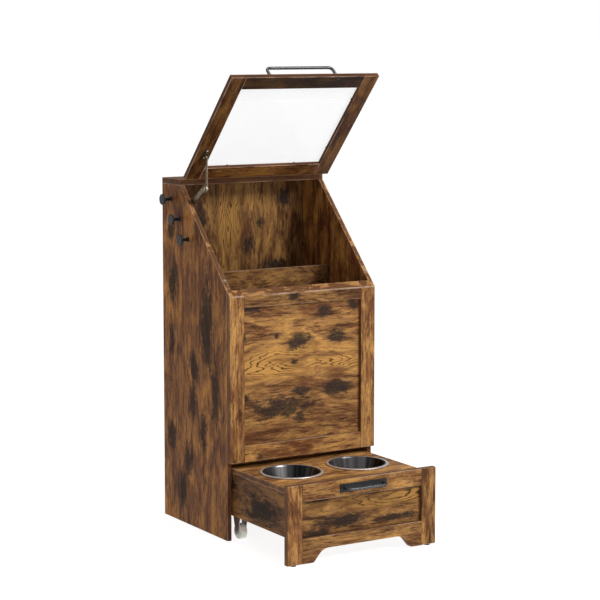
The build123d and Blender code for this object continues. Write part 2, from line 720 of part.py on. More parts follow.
def drawer_box():
    """Top board with two bowl holes, two sides, a back and a bottom."""
    y = (FRONT_REAR, BOX_REAR)
    side_z = (BOX_UNDERSIDE, BOX_TOP - BOX_THICK)
    top = board((-BOX_HALF, BOX_HALF), y, (side_z[1], BOX_TOP))
    hole = BOWL_TOP_RADIUS + BOWL_HOLE_CLEAR
    for x, centre_y in bowl_centres():
        top -= rod((x, centre_y, side_z[1] - 1), (x, centre_y, BOX_TOP + 1), hole)
    left = board((-BOX_HALF, -BOX_INNER), y, side_z)
    left = drilled(left, drawer_cam_seats(-1), (-1, 0, 0), CAM_DEPTH, CAM_RADIUS)
    inside = (-BOX_INNER, BOX_INNER)
    back_y = (BOX_REAR - BOX_THICK, BOX_REAR)
    bottom_z = (BOX_UNDERSIDE, BOX_UNDERSIDE + DRAWER_BOTTOM_THICK)
    bottom = board(inside, (FRONT_REAR, back_y[0]), bottom_z)
    back = board(inside, back_y, side_z)
    return {
        "drawer_top_board": top,
        "drawer_left_side": left,
        "drawer_right_side": mirrored(left),
        "drawer_back": caster_drilled(back),
        "drawer_bottom": caster_drilled(bottom),
    }


def handle_plate():
    z = DRAWER_FRONT_TOP - FRAME_WIDTH / 2
    half = PLATE_LENGTH / 2
    plate = block((-half, half), (FRONT_FACE - PLATE_THICK, FRONT_FACE),
                  (z - PLATE_HEIGHT / 2, z + PLATE_HEIGHT / 2))
    plate = fillet(plate.edges().filter_by(Axis.Y), 1.5)
    seats = [(x, FRONT_FACE, height) for x, _, height in handle_screw_seats()]
    return drilled(plate, seats, (0, -1, 0), PLATE_THICK + 1.0, MACHINE_SCREW_RADIUS)


def handle_bar():
    z = DRAWER_FRONT_TOP - FRAME_WIDTH / 2
    half = DRAWER_BAR_CENTRES / 2
    near, far = FRONT_FACE - PLATE_THICK, FRONT_FACE - PLATE_THICK - DRAWER_BAR_HEIGHT
    points = [(-half, near, z), (-half, far, z), (half, far, z), (half, near, z)]
    bar = bent_bar(points, DRAWER_BAR_BEND, DRAWER_BAR_RADIUS)
    return drilled(bar, [points[0], points[-1]], (0, -1, 0), MACHINE_GRIP + 1.0, MACHINE_SCREW_RADIUS)


def drawer_handle_screws():
    length = DRAWER_FRONT_THICK - HANDLE_SCREW_SINK + PLATE_THICK + MACHINE_GRIP
    return [screw(seat, (0, -1, 0), length, MACHINE_SCREW_RADIUS, MACHINE_HEAD_RADIUS,
                  MACHINE_HEAD_HEIGHT) for seat in handle_screw_seats()]


def glides():
    """Nailed-on feet under the drawer front's stiles."""
    y = (FRONT_FACE + FRONT_REAR) / 2
    x_place = HALF - GLIDE_INSET
    return [rod((sign * x_place, y, 0), (sign * x_place, y, GLIDE_HEIGHT), GLIDE_RADIUS)
            for sign in (-1, 1)]


# ---- Casters ----
def caster_centre(sign):
    return sign * CASTER_X, BOX_REAR - CASTER_FROM_REAR, WHEEL_RADIUS


def caster_screw_seats():
    """Under the caster plates, on both sides."""
    z = BOX_UNDERSIDE - CASTER_PLATE_THICK
    places = []
    for sign in (-1, 1):
        x, y, _ = caster_centre(sign)
        places += [(x + dx * CASTER_SCREW_X / 2, y + dy * CASTER_SCREW_Y / 2, z)
                   for dx in (-1, 1) for dy in (-1, 1)]
    return places


def caster_drilled(solid):
    """The solid with the holes of the caster plates' screws."""
    depth = SCREW_LENGTH + CASTER_PLATE_THICK + DRILL_CLEAR
    return drilled(solid, caster_screw_seats(), (0, 0, 1), depth, SCREW_RADIUS)


def fork_leg(x, y, z):
    """A tapered leg that ends round at the axle."""
    plate_z = BOX_UNDERSIDE - CASTER_PLATE_THICK
    top = Pos(y, plate_z - 1.0) * Rectangle(FORK_TOP_WIDTH, 2.0)
    tip = Pos(y, z) * Circle(FORK_TIP_RADIUS)
    outline = make_hull([*top.edges(), *tip.edges()])
    return Pos(x[0], 0, 0) * extrude(Plane.YZ * outline, x[1] - x[0])


def caster_bracket(sign):
    x, y, z = caster_centre(sign)
    plate_z = (BOX_UNDERSIDE - CASTER_PLATE_THICK, BOX_UNDERSIDE)
    body = block((x - CASTER_PLATE_X / 2, x + CASTER_PLATE_X / 2),
                 (y - CASTER_PLATE_Y / 2, y + CASTER_PLATE_Y / 2), plate_z)
    inner = WHEEL_WIDTH / 2 + FORK_GAP
    for side in (-1, 1):
        near, far = sorted((x + side * inner, x + side * (inner + FORK_THICK)))
        body += fork_leg((near, far), y, z)
    body = drilled(body, caster_screw_seats(), (0, 0, 1), CASTER_PLATE_THICK + 1.0, SCREW_RADIUS)
    return body - rod((x - 20, y, z), (x + 20, y, z), AXLE_RADIUS + AXLE_CLEAR)


def caster_wheel(sign):
    x, y, z = caster_centre(sign)
    half = WHEEL_WIDTH / 2
    wheel = rod((x - half, y, z), (x + half, y, z), WHEEL_RADIUS)
    wheel = fillet(wheel.edges().filter_by(GeomType.CIRCLE), 3.0)
    return wheel - rod((x - 20, y, z), (x + 20, y, z), AXLE_RADIUS + AXLE_CLEAR)


def caster_axle(sign):
    """A rivet through the fork, with a head at each end."""
    x, y, z = caster_centre(sign)
    half = WHEEL_WIDTH / 2 + FORK_GAP + FORK_THICK
    axle = rod((x - half - 1.5, y, z), (x + half + 1.5, y, z), AXLE_RADIUS)
    for side in (-1, 1):
        axle += rod((x + side * half, y, z), (x + side * (half + 1.5), y, z), AXLE_RADIUS + 1.2)
    return axle


def caster_screws():
    return [screw(seat, (0, 0, 1), SCREW_LENGTH + CASTER_PLATE_THICK) for seat in caster_screw_seats()]


# ---- Bowls ----
def bowl(centre):
    """A pressed bowl with a rolled rim that rests on the drawer's top board."""
    low, wall = -BOWL_DEPTH, BOWL_WALL
    bead = BOWL_RIM_HEIGHT / 2
    rim = BOWL_RIM_RADIUS - bead
    lines = [
        Polyline((0, low + wall), (0, low), (BOWL_BASE_RADIUS, low), (BOWL_TOP_RADIUS, 0), (rim, 0)),
        ThreePointArc((rim, 0), (BOWL_RIM_RADIUS, bead), (rim, 2 * bead)),
        Polyline((rim, 2 * bead), (BOWL_TOP_RADIUS - wall / 2, 2 * bead),
                 (BOWL_TOP_RADIUS - 2 * wall, 0), (BOWL_BASE_RADIUS - wall, low + wall), (0, low + wall)),
    ]
    section = Plane.XZ * make_face(lines)
    shape = revolve(section, Axis.Z)
    turned = [e for e in shape.edges().filter_by(GeomType.CIRCLE)
              if abs(e.center().Z - low) < wall * 1.5 and e.radius > BOWL_BASE_RADIUS / 2]
    shape = fillet(turned, 4.0)
    return Pos(centre[0], centre[1], BOX_TOP + BOWL_SEAT_GAP) * shape


# ---- The whole object ----
def cabinet():
    pieces = {
        "left_side_panel": side_panel(-1),
        "right_side_panel": side_panel(1),
        "top_board": top_board(),
        "back_panel": board((-INNER, INNER), (-BACK_THICK, 0), (0, SIDE_TOP)),
        "bin_floor": bin_floor(),
        "divider": board((-INNER, INNER), (-DIVIDER_Y - DIVIDER_THICK / 2, -DIVIDER_Y + DIVIDER_THICK / 2),
                         (FRONT_BOTTOM + FLOOR_THICK, DIVIDER_TOP)),
        "cabinet_cam_locks": [cam(seat, (0, 0, 1)) for seat in floor_cam_seats()],
        "coat_hook_screws": coat_hook_screws(),
        "lid_bumpers": bumpers(),
    }
    pieces.update(front_panel())
    for name, seat in zip(("upper_coat_hook", "middle_coat_hook", "lower_coat_hook"), hook_seats()):
        pieces[name] = coat_hook(seat)
    return pieces


def lid():
    pieces = lid_frame()
    pieces["lid_window"] = lid_window()
    pieces["lid_handle"] = lid_handle()
    pieces["lid_handle_screws"] = lid_handle_screws()
    pieces["lid_fitting_screws"] = lid_screws()
    placed = {}
    for name, piece in pieces.items():
        group = piece if isinstance(piece, list) else [piece]
        placed[name] = [lid_place(solid) for solid in group]
    return placed


def hinges_and_stay():
    side_screws = [screw(seat, (-1, 0, 0)) for seat in stay_screw_seats()]
    return {
        "left_hinge_fixed_leaf": fixed_leaf(-1),
        "right_hinge_fixed_leaf": fixed_leaf(1),
        "left_hinge_moving_leaf": moving_leaf(-1),
        "right_hinge_moving_leaf": moving_leaf(1),
        "hinge_pins": hinge_pins(),
        "cabinet_fitting_screws": [screw(seat, (0, 0, -1)) for seat in fixed_screw_seats()] + side_screws,
        "stay_side_bracket": stay_side_bracket(),
        "stay_lower_arm": stay_lower_arm(),
        "stay_drum": stay_drum(),
        "stay_upper_arm": stay_upper_arm(),
        "stay_lid_bracket": stay_lid_bracket(),
    }


def drawer():
    pieces = drawer_box()
    pieces.update(drawer_front())
    pieces.update({
        "drawer_handle_plate": handle_plate(),
        "drawer_handle_bar": handle_bar(),
        "drawer_handle_screws": drawer_handle_screws(),
        "drawer_glides": glides(),
        "drawer_cam_locks": [cam(seat, (sign, 0, 0))
                             for sign in (-1, 1) for seat in drawer_cam_seats(sign)],
        "left_caster_bracket": caster_bracket(-1),
        "right_caster_bracket": caster_bracket(1),
        "left_caster_wheel": caster_wheel(-1),
        "right_caster_wheel": caster_wheel(1),
        "caster_axles": [caster_axle(-1), caster_axle(1)],
        "caster_screws": caster_screws(),
    })
    for name, centre in zip(("left_bowl", "right_bowl"), bowl_centres()):
        pieces[name] = bowl(centre)
    return pieces


def write(pieces):
    """One STEP file for each piece, or for each group of identical fasteners."""
    os.makedirs("parts", exist_ok=True)
    for name, piece in pieces.items():
        group = piece if isinstance(piece, list) else [piece]
        solids = [solid for part in group for solid in part.solids()]
        shape = solids[0] if len(solids) == 1 else Compound(children=solids)
        shape.label = name
        export_step(shape, f"parts/{name}.step")


write({**cabinet(), **lid(), **hinges_and_stay(), **drawer()})
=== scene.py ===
import math

import bmesh
import bpy
from mathutils import Matrix, Vector

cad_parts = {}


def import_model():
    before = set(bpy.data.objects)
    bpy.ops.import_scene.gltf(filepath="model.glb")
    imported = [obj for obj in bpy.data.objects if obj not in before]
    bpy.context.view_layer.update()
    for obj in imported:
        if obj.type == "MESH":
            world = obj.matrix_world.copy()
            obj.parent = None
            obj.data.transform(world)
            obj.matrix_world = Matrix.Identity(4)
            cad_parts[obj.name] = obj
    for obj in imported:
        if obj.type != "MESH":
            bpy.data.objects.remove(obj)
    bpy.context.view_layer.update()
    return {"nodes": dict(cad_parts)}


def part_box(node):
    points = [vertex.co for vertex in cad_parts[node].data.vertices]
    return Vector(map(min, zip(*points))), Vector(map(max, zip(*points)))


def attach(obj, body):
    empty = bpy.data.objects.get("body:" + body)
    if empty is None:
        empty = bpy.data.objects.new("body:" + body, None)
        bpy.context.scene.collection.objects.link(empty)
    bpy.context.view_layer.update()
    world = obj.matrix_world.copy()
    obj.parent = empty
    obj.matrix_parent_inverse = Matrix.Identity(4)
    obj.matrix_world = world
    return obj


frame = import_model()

NODES = frame["nodes"]
X, Y, Z = range(3)


# ---- Shader helpers ----
class Look:
    """A material whose nodes are made with short calls. Sockets and numbers mix freely."""

    def __init__(self, name):
        self.material = bpy.data.materials.new(name)
        self.material.use_nodes = True
        self.nodes = self.material.node_tree.nodes
        self.links = self.material.node_tree.links
        self.shader = self.nodes["Principled BSDF"]
        self.place = self.nodes.new("ShaderNodeTexCoord").outputs["Object"]

    def feed(self, socket, value):
        if isinstance(value, bpy.types.NodeSocket):
            self.links.new(value, socket)
        elif hasattr(value, "__len__") and len(socket.default_value) == 4:
            socket.default_value = (*value[:3], 1.0)
        else:
            socket.default_value = value

    def set(self, **values):
        for name, value in values.items():
            self.feed(self.shader.inputs[name.replace("_", " ")], value)

    def math(self, operation, *values):
        node = self.nodes.new("ShaderNodeMath")
        node.operation = operation
        for socket, value in zip(node.inputs, values):
            self.feed(socket, value)
        return node.outputs[0]

    def swing(self, value, reach):
        """A noise value, moved to lie around zero and scaled."""
        return self.math("MULTIPLY", self.math("SUBTRACT", value, 0.5), reach)

    def vector(self, operation, *values, out=0):
        node = self.nodes.new("ShaderNodeVectorMath")
        node.operation = operation
        for socket, value in zip(node.inputs, values):
            self.feed(socket, value)
        return node.outputs[out]

    def parts(self, value):
        node = self.nodes.new("ShaderNodeSeparateXYZ")
        self.feed(node.inputs[0], value)
        return list(node.outputs)

    def noise(self, place, scale, detail=2.0, rough=0.5, seed=0.0, twist=0.0):
        node = self.nodes.new("ShaderNodeTexNoise")
        node.noise_dimensions = "4D"
        for name, value in (("Vector", place), ("Scale", scale), ("Detail", detail),
                            ("Roughness", rough), ("W", seed), ("Distortion", twist)):
            self.feed(node.inputs[name], value)
        return node.outputs[0]

    def span(self, value, low, high, to_low=0.0, to_high=1.0):
        """A smooth step between two values, either way up."""
        node = self.nodes.new("ShaderNodeMapRange")
        node.interpolation_type = "SMOOTHSTEP"
        for socket, number in zip(node.inputs, (value, low, high, to_low, to_high)):
            self.feed(socket, number)
        return node.outputs[0]

    def ramp(self, value, stops):
        node = self.nodes.new("ShaderNodeValToRGB")
        elements = node.color_ramp.elements
        while len(elements) < len(stops):
            elements.new(0.5)
        for element, (position, colour) in zip(elements, stops):
            element.position = position
            element.color = (*colour, 1.0)
        self.feed(node.inputs[0], value)
        return node.outputs[0]

    def mix(self, factor, first, second, blend="MIX"):
        node = self.nodes.new("ShaderNodeMix")
        node.data_type, node.blend_type = "RGBA", blend
        for socket, value in zip([node.inputs[n] for n in (0, 6, 7)], (factor, first, second)):
            self.feed(socket, value)
        return node.outputs[2]

    def layer(self, colour, over, mask, share=1.0):
        """One colour laid over another, as far as a mask and a share let it."""
        return self.mix(mask if share == 1.0 else self.math("MULTIPLY", mask, share), colour, over)

    def bump(self, height, strength, distance):
        node = self.nodes.new("ShaderNodeBump")
        for name, value in (("Height", height), ("Strength", strength), ("Distance", distance)):
            self.feed(node.inputs[name], value)
        self.links.new(node.outputs[0], self.shader.inputs["Normal"])

    def wear(self, *nodes):
        """Puts the material on CAD nodes or pieces."""
        for item in nodes:
            thing = NODES[item] if isinstance(item, str) else item
            thing.data.materials.clear()
            thing.data.materials.append(self.material)


# ---- Wood-look board ----
WOOD_DARK = (0.036, 0.014, 0.006)
WOOD_BROWN = (0.105, 0.042, 0.014)
WOOD_TAN = (0.270, 0.135, 0.047)
WOOD_GOLD = (0.480, 0.245, 0.062)
WOOD_RED = (0.085, 0.028, 0.011)
WOOD_SMOKE = (0.022, 0.014, 0.011)
WOOD_STOPS = ((0.38, WOOD_DARK), (0.45, WOOD_BROWN), (0.52, WOOD_TAN), (0.61, WOOD_GOLD))
# Painted highlight: the bright band along the sloping top edges.
LIT_SLOPE_BAND = (0.310, 0.152, 0.052)
# Painted shade: the dark band on edge faces and a thin strip along each edge.
SHADED_EDGE_BAND = (0.075, 0.028, 0.012)
# Painted highlight: the pale line along corners that face the light.
CORNER_HIGHLIGHT = (0.460, 0.320, 0.230)
WARM_GREEN, WARM_BLUE = 0.20, 0.44     # how much of these a fully warm tint takes away
BAND_DEPTH = (0.0010, 0.0004)          # metres under an edge where its band starts and is full
CORNER_DEPTH = (0.0016, 0.0006)        # the same for the pale line along a corner, a painted highlight
WOOD_SHEEN = 0.09

RING_SQUEEZE = 0.16                    # growth rings are drawn out along the grain by one over this
RING_WAVES = 1150.0                    # radians for each metre of radius
RING_DRIFT = 0.050

# Noise fields: squeeze along the grain, scale, detail, roughness, seed step, twist
FIELDS = {
    "tone": (0.28, 24.0, 6.0, 0.68, 0.0, 1.1),
    "streak": (0.07, 170.0, 4.0, 0.72, 1.3, 0.4),
    "fine": (0.10, 430.0, 3.0, 0.75, 2.1, 0.0),
    "haze": (0.38, 26.0, 6.0, 0.72, 3.3, 0.8),
    "speck": (0.45, 300.0, 3.0, 0.75, 5.7, 0.0),
    "ragged": (0.45, 75.0, 5.0, 0.75, 6.1, 0.6),
    "flecks": (0.30, 110.0, 3.0, 0.60, 7.9, 0.0),
    "blush": (0.40, 15.0, 5.0, 0.66, 8.8, 0.9),
    "ring_drift": (RING_SQUEEZE, 34.0, 3.0, 0.55, 9.0, 0.0),
}


class Board(Look):
    """The look of one board. The grain runs along one axis; turn lays a tilted board square."""

    def __init__(self, name, along, seed, turn):
        super().__init__("wood_" + name)
        self.along, self.seed, self.made = along, seed, {}
        points = [turn @ v.co for v in NODES[name].data.vertices]
        self.low = Vector([min(p[i] for p in points) for i in range(3)])
        self.high = Vector([max(p[i] for p in points) for i in range(3)])
        self.size = self.high - self.low
        self.thin = min(range(3), key=lambda i: self.size[i])
        self.flat = [i for i in range(3) if i != self.thin]
        if turn != Matrix.Identity(3):
            join = self.nodes.new("ShaderNodeCombineXYZ")
            for socket, row in zip(join.inputs, turn):
                self.feed(socket, self.vector("DOT_PRODUCT", self.place, Vector(row), out=1))
            self.place = join.outputs[0]

    def squeezed(self, place, amount):
        scale = Vector((1, 1, 1))
        scale[self.along] = amount
        return self.vector("MULTIPLY", place, scale)

    def field(self, name):
        if name not in self.made:
            squeeze, scale, detail, rough, step, twist = FIELDS[name]
            place = self.squeezed(self.place, squeeze)
            self.made[name] = self.noise(place, scale, detail, rough, self.seed + step, twist)
        return self.made[name]

    def border(self, slope, lit_axes):
        """Depth under the broad face, in from the edges and in from the highlighted edges, and under the
        slope.
        """
        offset = self.vector("SUBTRACT", self.place, (self.low + self.high) / 2)
        depths = self.parts(self.vector("SUBTRACT", self.size / 2, self.vector("ABSOLUTE", offset)))
        edge = self.math("MINIMUM", *[depths[i] for i in self.flat])
        lit_depths = [depths[i] for i in self.flat if i in lit_axes]
        lit_edge = edge if len(lit_depths) == 2 else (lit_depths or [1.0])[0]
        away = None
        if slope:
            point, normal = slope
            away = self.vector("DOT_PRODUCT", self.vector("SUBTRACT", point, self.place), normal, out=1)
            lit_edge = self.math("MINIMUM", lit_edge, away)
        return depths[self.thin], edge, lit_edge, away

    def smudge_distance(self, smudges):
        """How far away the nearest of the placed smudges is, in its own radii."""
        nearest = None
        for u, v, reach_u, reach_v in smudges:
            centre, scale = Vector((0, 0, 0)), Vector((0, 0, 0))
            for axis, at, reach in zip(self.flat, (u, v), (reach_u, reach_v)):
                centre[axis] = self.low[axis] + at * self.size[axis]
                scale[axis] = 1 / (reach * self.size[axis])
            offset = self.vector("MULTIPLY", self.vector("SUBTRACT", self.place, centre), scale)
            distance = self.vector("LENGTH", offset, out=1)
            nearest = distance if nearest is None else self.math("MINIMUM", nearest, distance)
        return nearest

    def smoke_mask(self, smoke, smudges):
        """Where the wood is dark: loose haze, the placed smudges and small flecks."""
        haze = self.field("haze")
        mask = self.span(haze, 0.70 - 0.20 * smoke, 0.80 - 0.17 * smoke)
        if smudges:
            ragged = self.math("ADD", self.smudge_distance(smudges), self.swing(self.field("ragged"), 3.4))
            ragged = self.math("ADD", ragged, self.swing(haze, 1.4))
            mask = self.math("MAXIMUM", mask, self.span(ragged, 1.30, 0.50))
        mask = self.math("MAXIMUM", mask, self.span(self.field("flecks"), 0.66, 0.72, 0.0, 0.8))
        return self.math("MULTIPLY", mask, self.span(self.field("speck"), 0.30, 0.52, 0.62, 0.94))

    def rings(self, figure):
        """Arched growth rings that run along the grain, and where they show."""
        *at, width = figure
        centre = Vector([low + share * size for low, share, size in zip(self.low, at, self.size)])
        near = self.squeezed(self.vector("SUBTRACT", self.place, centre), RING_SQUEEZE)
        distance = self.vector("LENGTH", near, out=1)
        radius = self.math("ADD", distance, self.math("MULTIPLY", self.field("ring_drift"), RING_DRIFT))
        wave = self.math("SINE", self.math("MULTIPLY", radius, RING_WAVES))
        patchy = self.noise(near, 40.0, 2.0, 0.5, self.seed + 4.0)
        shown = self.math("MULTIPLY", self.span(distance, width, width * 0.4), self.span(patchy, 0.36, 0.56))
        return self.span(wave, 0.35, 0.95), shown

    def grain(self):
        """Bands from dark to gold, with reddish patches and darker streaks."""
        tone, streak, fine = self.field("tone"), self.field("streak"), self.field("fine")
        mixed = self.math("ADD", self.math("MULTIPLY", tone, 0.62), self.math("MULTIPLY", streak, 0.38))
        colour = self.ramp(self.math("ADD", mixed, self.swing(fine, 0.42)), WOOD_STOPS)
        colour = self.layer(colour, WOOD_RED, self.span(self.field("blush"), 0.47, 0.62), 0.66)
        colour = self.layer(colour, WOOD_BROWN, self.span(streak, 0.50, 0.64), 0.45)
        return self.layer(colour, WOOD_DARK, self.span(fine, 0.55, 0.68), 0.65)

    def edges(self, colour, slope, lit_axes):
        """Painted light and shade on the edges: a dark band on the edge faces as painted shade, a bright
        band on the sloping edge as painted highlight, and a pale line along chosen corners as painted
        highlight.
        """
        under, edge, lit_edge, away = self.border(slope, lit_axes)
        # Painted shade: edge faces and a thin strip along the edges are darkened.
        band = self.math("MULTIPLY", self.span(edge, *BAND_DEPTH),
                         self.span(self.field("streak"), 0.35, 0.6, 0.45, 0.85))
        colour = self.layer(colour, SHADED_EDGE_BAND, band)
        if slope:
            # Painted highlight: a bright band on the sloping edge, broken by brown patches.
            lit_slope_mask = self.span(away, *BAND_DEPTH)
            colour = self.layer(colour, LIT_SLOPE_BAND, lit_slope_mask, 0.85)
            colour = self.layer(colour, WOOD_BROWN, lit_slope_mask, self.span(self.field("tone"), 0.56, 0.50))
        # Painted highlight: a pale line along the corners on the chosen axes, where edges catch the light.
        corner = self.span(self.math("MAXIMUM", under, lit_edge), *CORNER_DEPTH)
        return self.layer(colour, CORNER_HIGHLIGHT, corner, self.span(self.field("haze"), 0.40, 0.58, 0.08, 0.60))


def wood(name, along, seed, slope=None, turn=Matrix.Identity(3), light=1.0, warm=0.0, smudges=(),
         figure=None, smoke=0.5, lit_axes=(X, Y, Z)):
    """Rustic wood-look laminate. Smudges are (u, v, reach u, reach v) in fractions of the broad
    face, a figure is its centre in fractions of the board and its width in metres. Light and warm
    are painted light and shade: each board's brightness and warmth stand in for how it is lit.
    Smoke sets the amount of loose smudges, and the last argument the axes whose corners get a pale
    line, a painted highlight."""
    board = Board(name, along, seed, turn)
    colour = board.grain()
    if figure:
        ring, shown = board.rings(figure)
        colour = board.layer(colour, WOOD_GOLD, shown, 0.65)
        colour = board.layer(colour, WOOD_DARK, board.math("MULTIPLY", ring, shown), 0.9)
    smoky = board.smoke_mask(smoke, smudges)
    colour = board.layer(colour, WOOD_SMOKE, smoky)
    # Painted light and shade: light and warm make the board brighter or darker and warmer, standing in for
    # how it is lit.
    painted_light_tint = (light, light * (1 - WARM_GREEN * warm), light * (1 - WARM_BLUE * warm))
    colour = board.mix(1.0, colour, painted_light_tint, "MULTIPLY")
    fine = board.field("fine")
    rough = board.math("ADD", fine, board.math("MULTIPLY", smoky, 0.3))
    board.set(Base_Color=board.edges(colour, slope, lit_axes), Roughness=board.span(rough, 0.3, 1.0, 0.46, 0.68),
              Specular_IOR_Level=WOOD_SHEEN)
    ridges = board.math("ADD", fine, board.field("streak"))
    board.bump(board.math("SUBTRACT", ridges, board.math("MULTIPLY", smoky, 0.5)), 0.22, 0.0006)
    board.wear(name)


# ---- Boards ----
side_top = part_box("left_side_panel")[1]
rail_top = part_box("front_top_rail")[1]
slope_top = Vector((0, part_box("top_board")[0].y, side_top.z))
slope_run = Vector((0, rail_top.y - slope_top.y, rail_top.z - slope_top.z)).normalized()
SLOPE = (slope_top, Vector((0, slope_run.z, -slope_run.y)))

window_face = max(NODES["lid_window"].data.polygons, key=lambda p: p.area).normal
lid_turn = Vector((0, window_face.y, window_face.z)).normalized()
if lid_turn.z < 0:
    lid_turn = -lid_turn
LID = Matrix(((1, 0, 0), (0, lid_turn.z, -lid_turn.y), (0, lid_turn.y, lid_turn.z)))

FRONT_SMUDGES = (
    (0.49, 0.72, 0.11, 0.065), (0.79, 0.73, 0.08, 0.055), (0.68, 0.91, 0.07, 0.05),
    (0.08, 0.97, 0.11, 0.035), (0.93, 0.955, 0.05, 0.04), (0.02, 0.77, 0.02, 0.035),
    (0.29, 0.77, 0.02, 0.025), (0.33, 0.255, 0.27, 0.075), (0.50, 0.36, 0.08, 0.03),
    (0.48, 0.17, 0.05, 0.05), (0.80, 0.36, 0.14, 0.06), (0.03, 0.34, 0.05, 0.04),
    (0.44, 0.575, 0.035, 0.02),
)
SIDE_SMUDGES = (
    (0.84, 0.70, 0.07, 0.06), (0.50, 0.47, 0.06, 0.05), (0.52, 0.38, 0.05, 0.07),
    (0.60, 0.19, 0.07, 0.055), (0.86, 0.55, 0.05, 0.06), (0.87, 0.25, 0.08, 0.04),
    (0.30, 0.62, 0.09, 0.15), (0.18, 0.42, 0.06, 0.10), (0.88, 0.86, 0.06, 0.03),
    (0.36, 0.30, 0.05, 0.06), (0.70, 0.10, 0.06, 0.05),
)
BACK_SMUDGES = (
    (0.59, 0.80, 0.05, 0.035), (0.20, 0.88, 0.09, 0.05), (0.30, 0.78, 0.04, 0.02),
    (0.80, 0.735, 0.10, 0.02), (0.86, 0.94, 0.05, 0.03), (0.68, 0.87, 0.03, 0.02),
)
DRAWER_SMUDGES = ((0.15, 0.92, 0.09, 0.08), (0.35, 0.35, 0.20, 0.16), (0.12, 0.12, 0.12, 0.14),
                  (0.75, 0.25, 0.20, 0.10), (0.52, 0.98, 0.22, 0.07))

# Painted light and shade: the light and warm numbers below make each board brighter or darker and warmer to
# stand in for how it is lit, so these tones are not only the boards' own.
wood("left_side_panel", Z, 1.0, SLOPE, warm=0.9, smudges=SIDE_SMUDGES, smoke=0.62)
wood("right_side_panel", Z, 2.7, SLOPE, light=1.25, warm=0.5, smoke=0.62)
wood("top_board", X, 3.1, light=0.62, warm=0.7)
wood("back_panel", Z, 4.4, light=0.90, smudges=BACK_SMUDGES, figure=(0.44, 0.5, 0.85, 0.050))
wood("bin_floor", X, 5.2)
wood("divider", X, 6.6, light=0.92, smoke=0.7)
wood("front_left_stile", Z, 7.4, SLOPE, light=1.22, smoke=0.30, lit_axes=(Z,))
wood("front_right_stile", Z, 8.9, SLOPE, light=1.20, lit_axes=(Z,))
wood("front_top_rail", X, 9.3, SLOPE, light=0.80, smoke=0.45, lit_axes=(Z,),
     smudges=((0.42, 0.5, 0.05, 0.3), (0.80, 0.9, 0.05, 0.3)))
wood("front_bottom_rail", X, 10.8, light=1.38, smoke=0.48, lit_axes=(Z,), smudges=((0.14, 0.2, 0.05, 0.3),))
wood("front_center_panel", X, 11.6, light=1.12, smudges=FRONT_SMUDGES,
     figure=(0.42, 0.5, 0.56, 0.055), smoke=0.45, lit_axes=())
# Painted shade: the lid boards get low light values, so the open lid's inner face is drawn dark and its top
# rail nearly black.
for name, grain, seed, light in (("lid_left_stile", Y, 12.5, 0.36), ("lid_right_stile", Y, 14.2, 0.43),
                                 ("lid_top_rail", X, 15.9, 0.14), ("lid_bottom_rail", X, 17.6, 0.56)):
    wood(name, grain, seed, turn=LID, light=light, warm=0.8, smoke=0.62)
wood("drawer_front_left_stile", Z, 20.1, light=1.32, smoke=0.35, lit_axes=(Z,))
wood("drawer_front_right_stile", Z, 21.9, light=0.92, smoke=0.42, lit_axes=(Z,))
wood("drawer_front_top_rail", X, 22.4, light=1.12, smoke=0.35, lit_axes=(Z,))
wood("drawer_front_bottom_rail", X, 23.6, light=0.90, smoke=0.66, lit_axes=(Z,))
wood("drawer_front_center_panel", X, 24.2, light=0.85, smudges=DRAWER_SMUDGES,
     figure=(0.75, 0.5, 0.75, 0.035), smoke=0.60, lit_axes=())
wood("drawer_left_side", Y, 25.7, light=0.62, warm=0.5, smoke=0.66,
     smudges=((0.45, 0.4, 0.25, 0.3), (0.9, 0.75, 0.1, 0.2)))
wood("drawer_right_side", Y, 26.4, smoke=0.6)
wood("drawer_back", X, 27.5)
wood("drawer_bottom", X, 28.3)
wood("drawer_top_board", X, 29.6, light=1.22, smoke=0.35)


# ---- Metal and plastic ----
# Painted reflection: the bowl wells' dark tone with pale streaks stands in for what the polished steel
# mirrors.
WELL_REFLECTION_DARK = (0.016, 0.016, 0.018)
WELL_REFLECTION_GREY = (0.078, 0.074, 0.073)
WELL_REFLECTION_PALE = (0.170, 0.165, 0.163)
STEEL_RIM = (0.62, 0.58, 0.56)
RIM_START, RIM_FULL = 0.905, 0.935     # shares of the bowl's radius
BLACK_DEEP, BLACK_PALE = (0.006, 0.007, 0.008), (0.013, 0.014, 0.016)
SHEET_DEEP, SHEET_PALE = (0.70, 0.71, 0.72), (0.76, 0.77, 0.78)


def black_metal(name, gloss, *nodes):
    """Black powder coat, from matt at no gloss to satin at full gloss."""
    look = Look(name)
    grit = look.noise(look.place, 1500.0, 3.0, 0.6, 1.0)
    cloud = look.noise(look.place, 60.0, 3.0, 0.6, 2.0)
    look.set(Base_Color=look.ramp(cloud, ((0.3, BLACK_DEEP), (0.7, BLACK_PALE))),
             Roughness=look.span(cloud, 0.3, 0.7, 0.38 - 0.14 * gloss, 0.50 - 0.16 * gloss),
             Specular_IOR_Level=0.30 + 0.60 * gloss)
    look.bump(grit, 0.12, 0.0003)
    look.wear(*nodes)


def metal(name, dark, pale, rough, *nodes):
    """Plated or brushed metal, with uneven tone."""
    look = Look(name)
    brush = look.noise(look.vector("MULTIPLY", look.place, Vector((0.1, 1, 1))), 1400.0, 2.0, 0.5, 3.0)
    cloud = look.noise(look.place, 90.0, 4.0, 0.6, 4.0)
    look.set(Base_Color=look.ramp(cloud, ((0.35, dark), (0.65, pale))),
             Roughness=look.span(brush, 0.2, 0.8, rough - 0.07, rough + 0.10), Metallic=1.0)
    look.bump(brush, 0.10, 0.0002)
    look.wear(*nodes)


